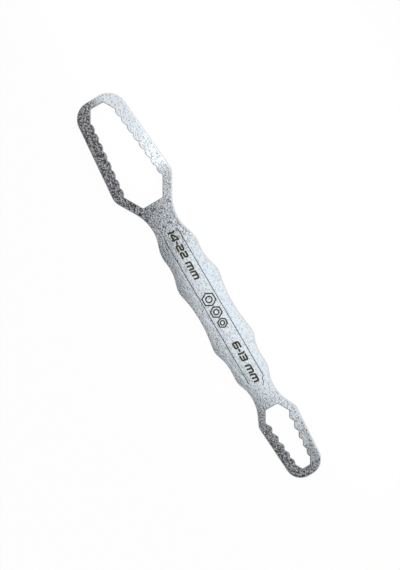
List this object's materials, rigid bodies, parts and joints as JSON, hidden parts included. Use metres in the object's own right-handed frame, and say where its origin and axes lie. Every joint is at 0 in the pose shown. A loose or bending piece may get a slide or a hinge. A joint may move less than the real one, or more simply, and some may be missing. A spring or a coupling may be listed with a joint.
{
  "type": "multi-size wrench",
  "caption": "Flat double-ended steel wrench with a tapered, stepped hexagon opening in each head for nuts of many sizes, and a wavy finger grip between the heads.",
  "frame": {"origin": "middle of the wrench's length and width, on its back face", "axes": "+X along the length from the large head to the small head, +Z out of the marked front face, +Y across the width"},
  "size_m": [0.251, 0.0382, 0.005],
  "materials": {
    "plated_steel": "shot-blasted and bright plated, fine sparkling grain",
    "size_mark": "dark burnt-in marking, matte"
  },
  "bodies": {
    "root": {"wrench_plate": "plated_steel"}
  },
  "joints": []
}
